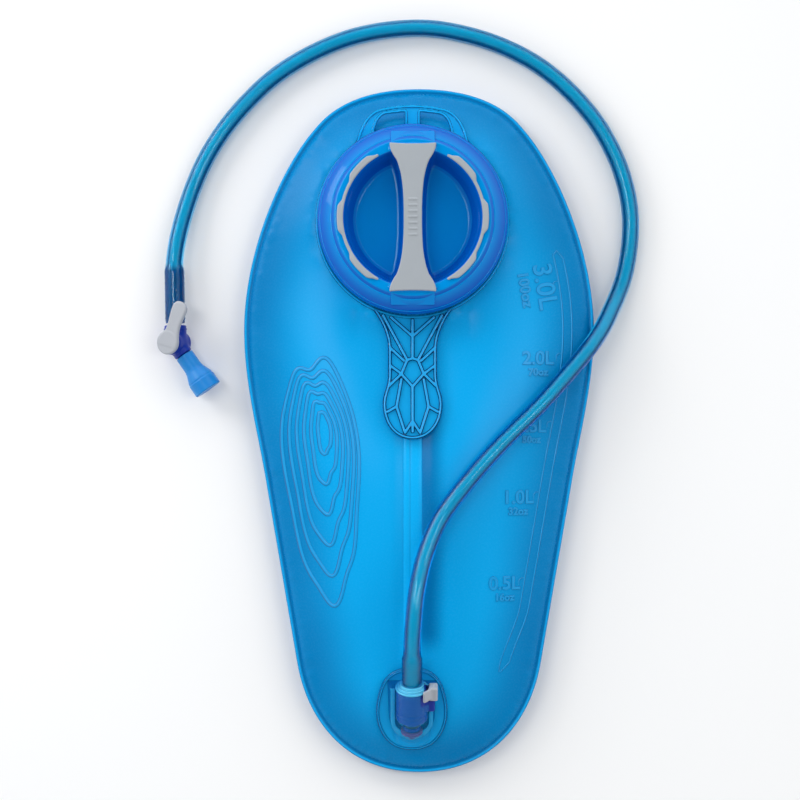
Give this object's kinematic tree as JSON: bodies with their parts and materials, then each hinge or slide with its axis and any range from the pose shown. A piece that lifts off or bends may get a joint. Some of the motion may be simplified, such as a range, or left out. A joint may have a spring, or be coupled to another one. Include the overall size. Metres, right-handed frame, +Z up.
{
  "type": "hydration reservoir",
  "caption": "Flat translucent drinking reservoir with a screw cap, ribbed handle, quick-release outlet, drinking hose, shut-off lever and bite mouthpiece.",
  "frame": {"origin": "on the surface that the bag lies on, below the middle of the bag's outline", "axes": "+Y along the bag to the end with the fill port, +Z up out of the bag's front, +X to the side where the hose crosses the rim"},
  "size_m": [0.2899, 0.4534, 0.057],
  "materials": {
    "film": "translucent blue welded film, softly glossy, with fine surface grain",
    "baffle_film": "translucent blue film strip, matte",
    "clear_moulding": "clear blue moulded plastic with raised ribs",
    "cap_blue": "deep translucent blue moulded plastic, satin gloss",
    "grip_grey": "light grey soft overmould, matte",
    "indigo": "indigo moulded plastic, satin",
    "button_grey": "light grey moulded plastic, matte",
    "hose_blue": "translucent blue extruded tube, glossy",
    "silicone_blue": "bright blue silicone, satin",
    "seal_red": "dark red valve rubber",
    "o_ring": "dark rubber",
    "spring_steel": "stainless spring wire"
  },
  "bodies": {
    "reservoir": {"front_film": "film", "back_film": "film", "centre_baffle": "baffle_film", "fill_port": "clear_moulding", "outlet_port": "clear_moulding"},
    "cap_seal": {"cap_gasket": "o_ring"},
    "cap": {"cap_shell": "cap_blue", "cap_bar_grip": "grip_grey", "cap_side_grip_right": "grip_grey", "cap_side_grip_left": "grip_grey"},
    "outlet_valve": {"outlet_poppet": "seal_red", "poppet_seal": "o_ring", "poppet_spring": "spring_steel"},
    "quick_link": {"quick_link_body": "indigo", "quick_link_o_ring": "o_ring", "button_spring": "spring_steel", "hose_end_quick_link": "hose_blue", "hose": "hose_blue", "hose_end_bite": "hose_blue", "shutoff_body": "indigo"},
    "release_button": {"release_button": "button_grey"},
    "shutoff": {"shutoff_lever": "button_grey", "shutoff_spool": "indigo", "spool_o_ring_lower": "o_ring", "spool_o_ring_upper": "o_ring"},
    "mouthpiece": {"mouthpiece": "silicone_blue"}
  },
  "joints": [
    {"name": "cap_lift", "type": "slide", "parent": "reservoir", "child": "cap_seal", "axis": [0, 0, 1], "range_m": [0, 0.06]},
    {"name": "cap_turn", "type": "hinge", "parent": "cap_seal", "child": "cap", "pos_m": [-0.004, 0.124, 0.046], "axis": [0, 0, 1], "range_deg": [0, 100]},
    {"name": "quick_link_pull", "type": "slide", "parent": "reservoir", "child": "quick_link", "axis": [0, 0.9272, 0.3746], "range_m": [0, 0.02]},
    {"name": "outlet_valve_close", "type": "slide", "parent": "reservoir", "child": "outlet_valve", "axis": [0, 0.9272, 0.3746], "range_m": [0, 0.0024], "deforming": ["poppet_spring"]},
    {"name": "release_button_press", "type": "slide", "parent": "quick_link", "child": "release_button", "axis": [-1, 0, 0], "range_m": [0, 0.0013], "stiffness_N_per_m": 600, "springref_m": -0.001, "deforming": ["button_spring"]},
    {"name": "shutoff_turn", "type": "hinge", "parent": "quick_link", "child": "shutoff", "pos_m": [-0.1466, 0.0528, 0.0096], "axis": [-0.3745, -0.0065, 0.9272], "range_deg": [0, 90]},
    {"name": "mouthpiece_pull", "type": "slide", "parent": "quick_link", "child": "mouthpiece", "axis": [0.5736, -0.8192, 0], "range_m": [0, 0.018]}
  ],
  "couplings": [
    {"joint": "outlet_valve_close", "follows": "quick_link_pull", "ratio": 0.115}
  ]
}
